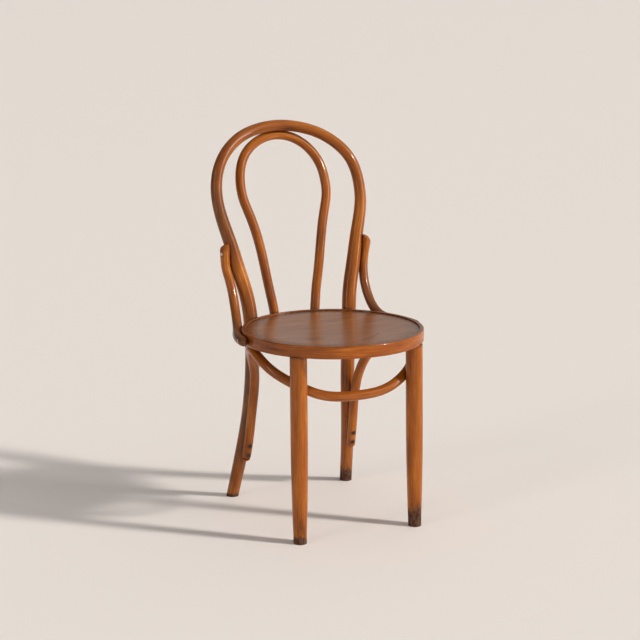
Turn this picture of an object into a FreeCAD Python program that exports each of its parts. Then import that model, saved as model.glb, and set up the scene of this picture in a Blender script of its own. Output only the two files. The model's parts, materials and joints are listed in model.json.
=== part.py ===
import FreeCAD, Part
import math
import os

# Bentwood bistro chair, in millimetres.
# +Z is up and the sitter faces -Y. The origin is on the floor, under the middle of the
# chair's outline. "Back" is measured from the middle of the seat, and "half width" from the
# middle plane. The chair is the same on its left and its right.
# The seat joint is where a limb of the outer hoop meets the ring. A direction in "degrees
# behind" is measured from straight sideways, towards the back. Left and right are as seen
# from the front.

# Seat ring
seat_height = 447.0          # floor to the top of the ring's lip
seat_radius = 205.0          # outer face of the ring
ring_depth = 28.0            # top to underside
ring_width = 38.0            # outer face to inner face
ring_top_round = 5.0
ring_under_round = 2.5
lip_width = 10.0             # the lip stands round the panel
lip_round = 1.5
rebate_depth = 8.0           # top of the lip down to the ledge

# Seat panel
panel_thickness = 5.0
panel_gap = 0.3              # all round, between panel and lip
panel_border = 2.5           # flat border of the panel, inside the ring's inner face
panel_dish = 5.0             # how far the middle is pressed down

# Outer hoop: one rod, up one side, over the top and down the other, rear legs included
hoop_rise = 441.0            # seat joint up to the middle of the top
hoop_setback = 127.0         # top of the hoop behind the seat joint
hoop_half_width = 182.0      # where the hoop is widest
hoop_top_radius = 13.0
limb_radius = 17.0           # at the seat joint
limb_notch = 4.8             # depth of the notch that takes the ring
limb_angle = 54.6            # degrees behind, round the seat to the seat joint
foot_spread = 24.7           # rear foot out from the seat joint
foot_setback = 68.0          # and behind it
rear_foot_radius = 14.3
# Bends of the head: in from the widest, ahead of the top, below the top, rod radius
head_bends = [
    (1.1, 75.0, 175.4, 13.8),
    (0.7, 62.0, 133.0, 13.3),
    (14.3, 48.4, 83.1, 13.0),
    (47.5, 29.5, 43.0, 13.0),
    (86.4, 14.5, 18.9, 13.0),
    (133.0, 4.0, 4.9, 13.0),
]
# Bends of the limb: out from the seat joint, behind it, above it, rod radius
limb_bends = [
    (5.4, 7.4, 56.9, 16.8),
    (19.2, 18.6, 115.6, 16.4),
    (36.6, 33.5, 188.5, 15.3),
]
# Bends of the rear leg: out from the seat joint, behind it, height above the floor, radius
rear_leg_bends = [
    (13.2, 35.3, 113.0, 15.6),
    (4.5, 15.7, 198.0, 16.2),
    (-1.3, 4.7, 283.0, 16.6),
]

# Inner hoop: a thinner rod, hung below the top of the outer hoop
inner_radius = 11.2
inner_notch = 2.2            # its feet are hollowed this deep against the ring
inner_foot_half_width = 52.5
inner_foot_lift = 3.0        # end of the foot above the ring's underside
inner_half_width = 108.6     # where it is widest
inner_top_tilt = 21.0        # degrees that its top hangs behind straight down
# Bends of its head: in from the widest, ahead of its top, below its top
inner_head_bends = [
    (12.0, 61.0, 175.2),
    (2.1, 50.5, 142.0),
    (0.1, 38.5, 109.9),
    (8.1, 23.0, 68.0),
    (30.4, 9.0, 33.4),
    (67.1, 2.2, 8.6),
]
# Bends of its limb: out from its foot, behind it, above the seat joint
inner_limb_bends = [
    (4.6, 9.0, 46.0),
    (13.2, 15.0, 94.6),
    (24.6, 24.6, 163.0),
]

# Front legs, turned
leg_radius = 19.0            # at the ring
front_foot_radius = 14.4
leg_top_inset = 16.4         # middle of the leg's top, in from the ring's face
leg_top_angle = -41.75       # degrees behind: the front legs are ahead
leg_spread = 1.4             # foot out from the leg's top
leg_rake = 8.2               # and ahead of it
# Turned outline: height above the floor, radius
leg_outline = [(60.0, 16.4), (120.0, 17.8), (180.0, 18.7), (300.0, 19.0)]
leg_foot_chamfer = 1.5
tenon_radius = 11.0
tenon_length = 15.0
tenon_gap = 0.15             # glue line round the tenon
tenon_end_gap = 0.5

# Side arms between the limbs and the ring
arm_radius = 10.8
arm_notch = 1.5              # depth of the hollows that fit it to limb and ring
arm_screw_height = 163.0     # top screw above the seat joint
arm_top_length = 21.8        # rod above the top screw
arm_top_round = 19.0         # its top is rounded away from the limb
arm_top_inset = 8.0          # middle of that round, from the arm's middle towards the limb
arm_turn = -18.0             # degrees behind: side of the limb that the arm lies on
arm_bend_angles = [48.4, 48.4, 44.3, 35.0]
# Bends, at those degrees behind: out from the ring's face, above the seat joint
arm_bends = [(63.8, 144.2), (52.7, 100.6), (32.7, 45.4), (14.8, 5.5)]
arm_lie_angle = 19.1         # degrees behind, where it meets the ring
arm_lie_drop = 1.5           # and lies below the seat joint
arm_tip_angle = 1.6
arm_tip_screw_angle = 4.6

# Leg brace: one long wavy rod that ties the four legs below the seat
brace_radius = 11.0
brace_notch = 1.2            # depth of the hollows that fit it to legs and ring
brace_foot_height = 110.0    # its lower ends, on the rear legs
brace_release_height = 205.0  # where it leaves the rear leg
brace_foot_turn = -6.0       # degrees that it lies outside the leg's front, at its foot
brace_release_turn = 7.0
brace_top_angle = 4.2        # degrees behind, where it touches the ring
brace_top_inset = 14.9       # and in from the ring's face
brace_leg_drop = 76.0        # below the ring, where it crosses a front leg
brace_leg_turn = 36.0        # degrees inwards from the back of the front leg
brace_middle_drop = 102.3    # its middle below the ring
brace_middle_setback = 1.0   # and behind the tops of the front legs
brace_back_angles = [39.2, 22.5]
brace_front_angle = -15.1
# Bends, at those degrees behind: in from the ring's face, below the ring
brace_back_bends = [(19.7, 79.0), (19.1, 28.5)]
brace_front_bend = (19.4, 37.2)
# Bend between front leg and middle: in from the leg's top, behind it, below the ring
brace_side_bend = (56.0, 9.1, 93.3)

# Fits
joint_gap = 0.2              # between two pieces that are screwed together
hole_gap = 0.05              # round every screw and bolt

# Countersunk wood screws
screw_radius = 2.0
screw_head_radius = 4.0
screw_point_radius = 0.4
screw_sink = 1.0             # top of the head below the rod's surface
screw_bite = 13.0            # length in the second piece
tip_bite = 9.0               # of the short ones, in tenon and ring
slot_width = 1.0
slot_depth = 0.9
foot_screw_lifts = [6.0, 30.0]    # above the lower end of the brace

# Bolts through rear leg and ring
bolt_radius = 3.0
bolt_head_radius = 8.0
bolt_head_height = 3.0
bolt_sink = 4.0              # seat of the head below the limb's surface
bolt_end = 2.0               # thread past the nut
counterbore_gap = 0.4
washer_radius = 8.0
washer_thickness = 1.5
washer_sink = 0.5            # flat that is cut in the ring's curved inner face
nut_across_flats = 10.0
nut_height = 5.0

# Pins that hold the panel
pin_count = 8
pin_radius = 0.8
pin_head_radius = 1.2
pin_head_height = 0.5
pin_length = 13.0
pin_inset = 7.0              # in from the panel's edge

# Worked out from the sizes above
ring_under = seat_height - ring_depth
ledge_height = seat_height - rebate_depth
joint_height = seat_height - ring_depth / 2
bolt_height = (ring_under + ledge_height) / 2
inner_wall = seat_radius - ring_width
panel_radius = seat_radius - lip_width - panel_gap
limb_reach = seat_radius + limb_radius - limb_notch
limb_half_width = limb_reach * math.cos(math.radians(limb_angle))
joint_back = limb_reach * math.sin(math.radians(limb_angle))
hoop_top = joint_height + hoop_rise
hoop_back = joint_back + hoop_setback
inner_tilt = math.radians(inner_top_tilt)
inner_apart = hoop_top_radius + inner_radius + joint_gap
inner_back = hoop_back + math.sin(inner_tilt) * inner_apart
rearmost = max(hoop_back + hoop_top_radius, inner_back + inner_radius)
seat_y = (seat_radius - rearmost) / 2

Vector = FreeCAD.Vector
up = Vector(0, 0, 1)
cutter = 60.0                # reach of the solids that trim others
end_step = 0.1               # a rod's rounded end is this much thinner than the rod
over = 3.0                   # how far a cut runs past the face that it opens
foot_excess = 12.0           # rod below the floor, before the foot is cut level
rod_sides = 12               # control points round a rod
rod_step = 30.0              # between rings of control points
brace_rests = 3              # even stretches of the brace's line along a rear leg

os.makedirs("parts", exist_ok=True)


def at(half_width, back, height):
    """A point, from the middle plane, the seat's middle and the floor."""
    return Vector(half_width, seat_y + back, height)


def heading(degrees_behind):
    """The level direction on the right side, from straight sideways towards the back."""
    turn = math.radians(degrees_behind)
    return Vector(math.cos(turn), math.sin(turn), 0)


def round_seat(degrees_behind, distance, height):
    """A point at a distance from the seat's upright middle line."""
    return at(0, 0, height) + heading(degrees_behind) * distance


def unit(vector):
    copy = Vector(vector)
    return copy.normalize()


def curve_through(points):
    curve = Part.BSplineCurve()
    curve.interpolate(points)
    return curve


def whole(right_half):
    """A run of points that crosses the middle plane, from its right half."""
    return right_half + [Vector(-p.x, p.y, p.z) for p in right_half[-2::-1]]


def rod(points, radii):
    """A round rod along a smooth curve, with its radius given at each point.

    The skin is one surface. Rings of control points stand square to the curve at even steps,
    and a smooth line runs along the rod through each ring's points.
    """
    curve = curve_through(points)
    edge = curve.toShape()
    stations = [curve.parameter(p) for p in points]
    stations[0] = curve.FirstParameter
    stations[-1] = curve.LastParameter
    count = 2 * round(edge.Length / rod_step / 2)
    marks = [edge.getParameterByLength(edge.Length * i / count) for i in range(count)]
    marks.append(curve.LastParameter)
    # The control points stand a little outside the round that they shape
    swell = 3 / (2 + math.cos(2 * math.pi / rod_sides))
    across = Vector(1, 0, 0)
    rings = []
    station = 0
    for mark in marks:
        while station < len(stations) - 2 and mark > stations[station + 1]:
            station += 1
        share = (mark - stations[station]) / (stations[station + 1] - stations[station])
        radius = radii[station] + (radii[station + 1] - radii[station]) * share
        along = unit(curve.tangent(mark)[0])
        across = unit(across - along * across.dot(along))
        side = along.cross(across)
        ring = []
        for i in range(rod_sides):
            turn = 2 * math.pi * i / rod_sides
            spoke = across * math.cos(turn) + side * math.sin(turn)
            ring.append(curve.value(mark) + spoke * (radius * swell))
        rings.append(ring)
    lines = []
    for i in range(rod_sides):
        line = Part.BSplineCurve()
        line.interpolate(Points=[ring[i] for ring in rings], Parameters=marks)
        lines.append(line)
    poles = [[line.getPole(k + 1) for line in lines] for k in range(lines[0].NbPoles)]
    knots = lines[0].getKnots()
    surface = Part.BSplineSurface()
    surface.buildFromPolesMultsKnots(
        poles, lines[0].getMultiplicities(), [1] * (rod_sides + 1), knots,
        [float(i) for i in range(rod_sides + 1)], False, True, lines[0].Degree, 3)
    skin = surface.toShape()
    ends = [Part.Face(Part.Wire(rim)) for rim in skin.Edges if rim.isClosed()]
    shell = Part.Shell([skin] + ends)
    shell.sewShape()
    solid = Part.Solid(shell)
    if solid.Volume < 0:
        solid.reverse()
    return solid


def rounded_end(centre, along, radius):
    """Half a ball that rounds off the end of a rod."""
    return Part.makeSphere(radius - end_step, centre, along, 0, 90, 360)


def both(solid):
    """A piece of the right side, and its mirror image on the left."""
    return [solid, solid.mirror(Vector(0, 0, 0), Vector(1, 0, 0))]


def cut_both(piece, right_tool):
    for tool in both(right_tool):
        piece = piece.cut(tool)
    return piece


def export(shape, name):
    shape.exportStep("parts/" + name + ".step")
    print(name, len(shape.Solids), "solids", round(shape.Volume), "mm3", shape.isValid())


def countersunk_screw(seat, along, length):
    """A slotted wood screw, and the hole that it needs. Its head's top is at the seat."""
    head = screw_head_radius - screw_radius
    point = length / 4
    shank = length - head - point
    neck = seat + along * head
    tip = neck + along * shank
    screw = Part.makeCone(screw_head_radius, screw_radius, head, seat, along)
    screw = screw.fuse(Part.makeCylinder(screw_radius, shank, neck, along))
    screw = screw.fuse(Part.makeCone(screw_radius, screw_point_radius, point, tip, along))
    slot = Part.makeBox(3 * screw_head_radius, slot_width, slot_depth)
    slot.translate(Vector(-1.5 * screw_head_radius, -slot_width / 2, 0))
    place = FreeCAD.Placement(seat, FreeCAD.Rotation(up, along))
    slot.Placement = place * slot.Placement
    mouth = screw_head_radius + hole_gap
    bore = screw_radius + hole_gap
    hole = Part.makeCylinder(mouth, over, seat - along * over, along)
    hole = hole.fuse(Part.makeCone(mouth, bore, head, seat, along))
    hole = hole.fuse(Part.makeCylinder(bore, length - head + hole_gap, neck, along))
    return screw.cut(slot).removeSplitter(), hole


def ring_section():
    """Outline of the seat ring, with its lip and its ledge for the panel."""
    lip = seat_radius - lip_width
    diagonal = 1 - math.sqrt(0.5)

    def round_over(start, end, corner, size):
        inwards = unit(start + end - corner * 2) * size * diagonal * math.sqrt(2)
        return Part.Arc(start, corner + inwards, end).toShape()

    outer_low = Vector(seat_radius, 0, ring_under)
    outer_top = Vector(seat_radius, 0, seat_height)
    lip_top = Vector(lip, 0, seat_height)
    left = Vector(-1, 0, 0)
    points = [
        outer_low + left * ring_under_round,
        outer_low + up * ring_under_round,
        outer_top - up * ring_top_round,
        outer_top + left * ring_top_round,
        lip_top - left * lip_round,
        lip_top - up * lip_round,
        Vector(lip, 0, ledge_height),
        Vector(inner_wall, 0, ledge_height),
        Vector(inner_wall, 0, ring_under),
    ]
    corners = {0: (outer_low, ring_under_round), 2: (outer_top, ring_top_round),
               4: (lip_top, lip_round)}
    edges = []
    for i, start in enumerate(points):
        end = points[(i + 1) % len(points)]
        if i in corners:
            edges.append(round_over(start, end, *corners[i]))
        else:
            edges.append(Part.makeLine(start, end))
    return Part.Face(Part.Wire(edges))


def turned(face, place):
    """A solid of revolution about an upright line."""
    solid = face.revolve(Vector(0, 0, 0), up, 360)
    solid.translate(place)
    return solid


def panel_section():
    """Outline of a thin pressed disc: flat border, shallow dish, one thickness."""
    top = ledge_height + panel_thickness
    dish = inner_wall - panel_border
    ball = (dish ** 2 + panel_dish ** 2) / (2 * panel_dish)
    half = dish / 2
    half_sag = panel_dish - ball + math.sqrt(ball ** 2 - half ** 2)

    def dish_arc(height):
        return Part.Arc(Vector(0, 0, height - panel_dish), Vector(half, 0, height - half_sag),
                        Vector(dish, 0, height)).toShape()

    edges = [
        dish_arc(top),
        Part.makeLine(Vector(dish, 0, top), Vector(panel_radius, 0, top)),
        Part.makeLine(Vector(panel_radius, 0, top), Vector(panel_radius, 0, ledge_height)),
        Part.makeLine(Vector(panel_radius, 0, ledge_height), Vector(dish, 0, ledge_height)),
        dish_arc(ledge_height),
        Part.makeLine(Vector(0, 0, ledge_height - panel_dish), Vector(0, 0, top - panel_dish)),
    ]
    return Part.Face(Part.Wire(edges))


def limb_stations():
    """Right half of the outer hoop: points and radii, from below the floor to the top."""
    foot = at(limb_half_width + foot_spread, joint_back + foot_setback, 0)
    out, behind, height, radius = rear_leg_bends[0]
    first_bend = at(limb_half_width + out, joint_back + behind, height)
    below = foot + unit(foot - first_bend) * foot_excess
    points = [below, foot]
    radii = [rear_foot_radius, rear_foot_radius]
    for out, behind, height, radius in rear_leg_bends:
        points.append(at(limb_half_width + out, joint_back + behind, height))
        radii.append(radius)
    points.append(at(limb_half_width, joint_back, joint_height))
    radii.append(limb_radius)
    for out, behind, above, radius in limb_bends:
        points.append(at(limb_half_width + out, joint_back + behind, joint_height + above))
        radii.append(radius)
    for inside, ahead, below, radius in head_bends:
        points.append(at(hoop_half_width - inside, hoop_back - ahead, hoop_top - below))
        radii.append(radius)
    points.append(at(0, hoop_back, hoop_top))
    radii.append(hoop_top_radius)
    return points, radii


limb_points, limb_radii = limb_stations()
limb_curve = curve_through(limb_points)


def mark_at(curve, height):
    """Where a curve that only climbs passes a height."""
    low = curve.FirstParameter
    high = curve.LastParameter
    for halving in range(40):
        middle = (low + high) / 2
        if curve.value(middle).z < height:
            low = middle
        else:
            high = middle
    return low


def limb_at(height):
    """Middle line and radius of the right limb or rear leg at a height."""
    mark = mark_at(limb_curve, height)
    stations = [limb_curve.parameter(p) for p in limb_points]
    for i in range(len(stations) - 1):
        if stations[i] <= mark <= stations[i + 1]:
            share = (mark - stations[i]) / (stations[i + 1] - stations[i])
            radius = limb_radii[i] + (limb_radii[i + 1] - limb_radii[i]) * share
            return limb_curve.value(mark), radius


def leg_ends():
    """The right front leg's middle at the floor and at the ring's underside."""
    top = round_seat(leg_top_angle, seat_radius - leg_top_inset, ring_under)
    return top + Vector(leg_spread, -leg_rake, -ring_under), top


def leg_side():
    """The turned side of a front leg, from its chamfered foot to past its top."""
    marks = [Vector(front_foot_radius, 0, leg_foot_chamfer)]
    marks += [Vector(radius, 0, height) for height, radius in leg_outline]
    marks.append(Vector(leg_radius, 0, ring_under + over))
    return curve_through(marks)


def front_leg_at(height):
    """Middle line and radius of the right front leg at a height."""
    foot, top = leg_ends()
    side = leg_side()
    return foot + (top - foot) * (height / ring_under), side.value(mark_at(side, height)).x


def hoop_rod(extra=0.0):
    """The outer hoop's full rod, or a thicker one that hollows its neighbours."""
    radii = [radius + extra for radius in limb_radii]
    return rod(whole(limb_points), radii + radii[-2::-1])


def shape_outer_hoop():
    hoop = hoop_rod()
    width = 2 * hoop_half_width
    below_floor = Part.makeBox(2 * width, 2 * width, foot_excess * 2)
    below_floor.translate(Vector(-width, -width, -foot_excess * 2))
    return hoop.cut(below_floor)


def inner_hoop_points():
    """Right half of the inner hoop, from its foot to its top."""
    reach = seat_radius + inner_radius - inner_notch
    back = math.sqrt(reach ** 2 - inner_foot_half_width ** 2)
    down = Vector(0, math.sin(inner_tilt), -math.cos(inner_tilt))
    top = at(0, hoop_back, hoop_top) + down * inner_apart
    points = [at(inner_foot_half_width, back, ring_under + inner_foot_lift),
              at(inner_foot_half_width, back, joint_height)]
    for out, behind, above in inner_limb_bends:
        points.append(at(inner_foot_half_width + out, back + behind, joint_height + above))
    for inside, ahead, below in inner_head_bends:
        points.append(Vector(inner_half_width - inside, top.y - ahead, top.z - below))
    points.append(top)
    return points, down


def shape_front_leg():
    """The right front leg: turned, cut level at floor and ring, with its tenon."""
    foot, top = leg_ends()
    side = leg_side()
    low_rim = side.StartPoint
    high_rim = side.EndPoint
    floor_edge = Vector(front_foot_radius - leg_foot_chamfer, 0, 0)
    low_edge = floor_edge - up * over
    edges = [
        Part.makeLine(-up * over, low_edge),
        Part.makeLine(low_edge, floor_edge),
        Part.makeLine(floor_edge, low_rim),
        side.toShape(),
        Part.makeLine(high_rim, up * high_rim.z),
        Part.makeLine(up * high_rim.z, -up * over),
    ]
    leg = turned(Part.Face(Part.Wire(edges)), Vector(0, 0, 0))
    leg.Placement = FreeCAD.Placement(foot, FreeCAD.Rotation(up, top - foot))
    span = Part.makeBox(2 * cutter, 2 * cutter, ring_under)
    span.translate(foot - Vector(cutter, cutter, 0))
    tenon = Part.makeCylinder(tenon_radius, tenon_length + over, top - up * over, up)
    return leg.common(span).fuse(tenon).removeSplitter()


def arm_route():
    """The right arm's middle line from its top to its tip, and where it is screwed."""
    limb_centre, radius = limb_at(joint_height + arm_screw_height)
    beside = heading(arm_turn)
    apart = beside * (radius + arm_radius - arm_notch + joint_gap)
    end_centre = limb_at(joint_height + arm_screw_height + arm_top_length + over)[0]
    points = [end_centre + apart, limb_centre + apart]
    for degrees, (out, above) in zip(arm_bend_angles, arm_bends):
        points.append(round_seat(degrees, seat_radius + out, joint_height + above))
    lie = seat_radius + arm_radius - arm_notch + joint_gap
    lie_height = joint_height - arm_lie_drop
    for degrees in (arm_lie_angle, (arm_lie_angle + arm_tip_angle) / 2, arm_tip_angle):
        points.append(round_seat(degrees, lie, lie_height))
    top_seat = limb_centre + apart + beside * (arm_radius - screw_sink)
    tip_seat = round_seat(arm_tip_screw_angle, lie + arm_radius - screw_sink, lie_height)
    return points, top_seat, tip_seat


def shape_arm(points):
    """The right arm: its top rounded away from the limb, its tip half a ball."""
    curve = curve_through(points)
    end_run = unit(curve.tangent(curve.LastParameter)[0])
    arm = rod(points, [arm_radius] * len(points))
    arm = arm.fuse(rounded_end(points[-1], end_run, arm_radius))
    climb = unit(points[0] - points[1])
    middle = points[1] + climb * (arm_top_length - arm_top_round)
    middle -= heading(arm_turn) * arm_top_inset
    ball = Part.makeSphere(arm_top_round, middle)
    above = Part.makeCylinder(2 * arm_top_round, arm_top_round + 4 * over, middle, climb)
    return arm.cut(above.cut(ball))


def brace_rest(height):
    """Where the brace lies on the rear leg, and the direction from brace to leg."""
    share = (height - brace_foot_height) / (brace_release_height - brace_foot_height)
    degrees = brace_foot_turn + (brace_release_turn - brace_foot_turn) * share
    turn = math.radians(degrees)
    towards_leg = Vector(-math.sin(turn), math.cos(turn), 0)
    centre, radius = limb_at(height)
    return centre - towards_leg * (radius + brace_radius - brace_notch + joint_gap), towards_leg


def brace_top():
    """Where the brace touches the ring's underside."""
    return round_seat(brace_top_angle, seat_radius - brace_top_inset,
                      ring_under - brace_radius + brace_notch - joint_gap)


def brace_crossing():
    """Where the brace passes behind a front leg, and the direction from brace to leg."""
    turn = math.radians(brace_leg_turn)
    towards_leg = Vector(math.sin(turn), -math.cos(turn), 0)
    centre, radius = front_leg_at(ring_under - brace_leg_drop)
    return centre - towards_leg * (radius + brace_radius - brace_notch + joint_gap), towards_leg


def brace_points():
    """Right half of the brace's middle line, from its foot to its middle."""
    rise = brace_release_height - brace_foot_height
    heights = [brace_foot_height + rise * i / brace_rests for i in range(brace_rests + 1)]
    points = [brace_rest(height)[0] for height in heights]
    for degrees, (inset, below) in zip(brace_back_angles, brace_back_bends):
        points.append(round_seat(degrees, seat_radius - inset, ring_under - below))
    points.append(brace_top())
    inset, below = brace_front_bend
    points.append(round_seat(brace_front_angle, seat_radius - inset, ring_under - below))
    points.append(brace_crossing()[0])
    leg_top = leg_ends()[1]
    inside, behind, below = brace_side_bend
    points.append(leg_top + Vector(-inside, behind, -below))
    points.append(Vector(0, leg_top.y + brace_middle_setback, ring_under - brace_middle_drop))
    return points


def shape_brace():
    points = brace_points()
    run = whole(points)
    brace = rod(run, [brace_radius] * len(run))
    curve = curve_through(run)
    start_run = unit(curve.tangent(curve.FirstParameter)[0])
    for end in both(rounded_end(points[0], -start_run, brace_radius)):
        brace = brace.fuse(end)
    return brace


def bolt_set():
    """The right bolt, washer and nut, and the holes for them in limb and ring."""
    centre, radius = limb_at(bolt_height)
    axis_point = at(0, 0, bolt_height)
    inwards = unit(axis_point - centre)
    seat = centre - inwards * (radius - bolt_sink)
    washer_seat = axis_point - inwards * (inner_wall + washer_sink)
    nut_seat = washer_seat + inwards * washer_thickness
    length = (nut_seat - seat).Length + nut_height + bolt_end
    bolt = Part.makeCylinder(bolt_radius, length, seat, inwards)
    head = Part.makeCylinder(bolt_head_radius, bolt_head_height, seat, -inwards)
    bolt = bolt.fuse(head).removeSplitter()
    bore_radius = bolt_radius + hole_gap
    bore = Part.makeCylinder(bore_radius, length, seat, inwards)
    washer = Part.makeCylinder(washer_radius, washer_thickness, washer_seat, inwards).cut(bore)
    corner = nut_across_flats / math.sqrt(3)
    hexagon = []
    for i in range(7):
        turn = math.radians(60 * i)
        hexagon.append(Vector(corner * math.cos(turn), corner * math.sin(turn), 0))
    nut = Part.Face(Part.makePolygon(hexagon)).extrude(up * nut_height)
    nut.Placement = FreeCAD.Placement(nut_seat, FreeCAD.Rotation(up, inwards))
    counterbore = Part.makeCylinder(bolt_head_radius + counterbore_gap, bolt_sink + over,
                                    seat, -inwards)
    spot_face = Part.makeCylinder(washer_radius + counterbore_gap, washer_sink + over,
                                  washer_seat, inwards)
    return bolt, washer, nut.cut(bore), bore, counterbore, spot_face


def panel_pin_set():
    """Pins through the panel's border into the ledge, and their holes."""
    radius = panel_radius - pin_inset
    top = ledge_height + panel_thickness
    pins = []
    holes = []
    for i in range(pin_count):
        degrees = 360 / pin_count * (i + 0.5)
        seat = round_seat(degrees, radius, top)
        pin = Part.makeCylinder(pin_head_radius, pin_head_height, seat, -up)
        pins.append(pin.fuse(Part.makeCylinder(pin_radius, pin_length, seat, -up)))
        hole = Part.makeCylinder(pin_head_radius + hole_gap, pin_head_height, seat, -up)
        shank = Part.makeCylinder(pin_radius + hole_gap, pin_length + hole_gap, seat, -up)
        holes.append(hole.fuse(shank))
    return [pin.removeSplitter() for pin in pins], Part.makeCompound(holes)


# The wooden pieces
ring = turned(ring_section(), at(0, 0, 0))
panel = turned(panel_section(), at(0, 0, 0))
outer_hoop = shape_outer_hoop()
inner_points, inner_down = inner_hoop_points()
inner_run = whole(inner_points)
inner_hoop = rod(inner_run, [inner_radius] * len(inner_run))
front_leg = shape_front_leg()
arm_points, arm_top_seat, arm_tip_seat = arm_route()
arm = shape_arm(arm_points)
brace = shape_brace()

# Each of these solids, a joint's gap larger than the piece, hollows what is screwed to it
ring_face = Part.makeCylinder(seat_radius + joint_gap, ring_depth + 2 * joint_gap,
                              at(0, 0, ring_under - joint_gap))
outer_hoop = outer_hoop.cut(ring_face)
inner_hoop = inner_hoop.cut(ring_face)
limb_face = hoop_rod(joint_gap)
arm = arm.cut(limb_face).cut(ring_face)
leg_centre, radius = front_leg_at(ring_under - brace_leg_drop)
leg_run = unit(front_leg_at(ring_under)[0] - leg_centre)
leg_face = Part.makeCylinder(radius + joint_gap, 2 * cutter, leg_centre - leg_run * cutter,
                             leg_run)
brace = cut_both(brace.cut(limb_face).cut(ring_face), leg_face)

# Blind bores for the front legs' tenons
leg_top = leg_ends()[1]
bore = Part.makeCylinder(tenon_radius + tenon_gap, tenon_length + tenon_end_gap + over,
                         leg_top - up * over)
ring = cut_both(ring, bore)

# Bolts through rear legs and ring
bolt, washer, nut, bolt_bore, counterbore, spot_face = bolt_set()
outer_hoop = cut_both(outer_hoop, bolt_bore.fuse(counterbore))
ring = cut_both(ring, bolt_bore.fuse(spot_face))

# Screws through the feet of the inner hoop into the ring
foot = at(inner_points[1].x, inner_points[1].y - seat_y, joint_height)
inwards = unit(at(0, 0, joint_height) - foot)
length = 2 * inner_radius - inner_notch - screw_sink + screw_bite
foot_screw, hole = countersunk_screw(foot - inwards * (inner_radius - screw_sink),
                                     inwards, length)
inner_hoop = cut_both(inner_hoop, hole)
ring = cut_both(ring, hole)

# One screw up through the top of the inner hoop into the outer hoop
length = 2 * inner_radius + joint_gap - screw_sink + screw_bite
top_screw, hole = countersunk_screw(inner_points[-1] + inner_down * (inner_radius - screw_sink),
                                    -inner_down, length)
inner_hoop = inner_hoop.cut(hole)
outer_hoop = outer_hoop.cut(hole)

# Screws at the two ends of each arm
length = 2 * arm_radius - arm_notch + joint_gap - screw_sink + screw_bite
arm_top_screw, hole = countersunk_screw(arm_top_seat, -heading(arm_turn), length)
arm = arm.cut(hole)
outer_hoop = cut_both(outer_hoop, hole)
arm_tip_screw, hole = countersunk_screw(arm_tip_seat, -heading(arm_tip_screw_angle), length)
arm = arm.cut(hole)
ring = cut_both(ring, hole)

# Two screws through each foot of the brace into the rear leg
length = 2 * brace_radius - brace_notch + joint_gap - screw_sink + screw_bite
brace_foot_screws = []
for lift in foot_screw_lifts:
    centre, towards_leg = brace_rest(brace_foot_height + lift)
    screw, hole = countersunk_screw(centre - towards_leg * (brace_radius - screw_sink),
                                    towards_leg, length)
    brace_foot_screws += both(screw)
    brace = cut_both(brace, hole)
    outer_hoop = cut_both(outer_hoop, hole)

# A screw through the brace into each front leg
centre, towards_leg = brace_crossing()
brace_leg_screw, hole = countersunk_screw(centre - towards_leg * (brace_radius - screw_sink),
                                          towards_leg, length)
brace = cut_both(brace, hole)
front_leg = front_leg.cut(hole)

# A screw up through the brace into the ring, where the brace is highest
length = 2 * brace_radius - brace_notch + joint_gap - screw_sink + tip_bite
brace_seat_screw, hole = countersunk_screw(brace_top() - up * (brace_radius - screw_sink),
                                           up, length)
brace = cut_both(brace, hole)
ring = cut_both(ring, hole)

# A screw from inside the ring that locks each tenon in its bore
outwards = unit(leg_top - at(0, 0, ring_under))
lock_height = ring_under + tenon_length / 2
lock_seat = at(0, 0, lock_height) + outwards * (inner_wall + screw_sink)
tenon_reach = (leg_top - at(0, 0, ring_under)).Length - tenon_radius
length = tenon_reach - inner_wall - screw_sink + tip_bite
lock_screw, hole = countersunk_screw(lock_seat, outwards, length)
ring = cut_both(ring, hole)
front_leg = front_leg.cut(hole)

# Pins through the panel
pins, pin_holes = panel_pin_set()
panel = panel.cut(pin_holes)
ring = ring.cut(pin_holes)

export(outer_hoop, "outer_back_hoop")
export(inner_hoop, "inner_back_hoop")
export(ring, "seat_ring")
export(panel, "seat_panel")
export(brace, "leg_brace")
for side, leg, side_arm in zip(("right", "left"), both(front_leg), both(arm)):
    export(leg, "front_leg_" + side)
    export(side_arm, "arm_" + side)
pairs = {
    "leg_bolts": bolt,
    "leg_bolt_washers": washer,
    "leg_bolt_nuts": nut,
    "inner_hoop_screws": foot_screw,
    "arm_top_screws": arm_top_screw,
    "arm_seat_screws": arm_tip_screw,
    "brace_leg_screws": brace_leg_screw,
    "brace_seat_screws": brace_seat_screw,
    "leg_lock_screws": lock_screw,
}
for name, fastener in pairs.items():
    export(Part.makeCompound(both(fastener)), name)
export(top_screw, "hoop_top_screw")
export(Part.makeCompound(brace_foot_screws), "brace_foot_screws")
export(Part.makeCompound(pins), "panel_pins")
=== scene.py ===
# %% [markdown]
# # A bentwood bistro chair
# The chair is a handful of beech rods, steamed until they bend, clamped round iron forms and
# screwed together round a seat. Its frame is already made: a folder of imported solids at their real
# size. This lesson loads that frame and builds the surfaces that the eye sees round it: rods
# with grain that follows each bend, a turned pair of legs, a ring and a worn, varnished seat.

# %% Load the frame
import json
import math

import bmesh
import bpy
import numpy as np
from mathutils import Matrix, Vector
from mathutils.bvhtree import BVHTree


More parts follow.
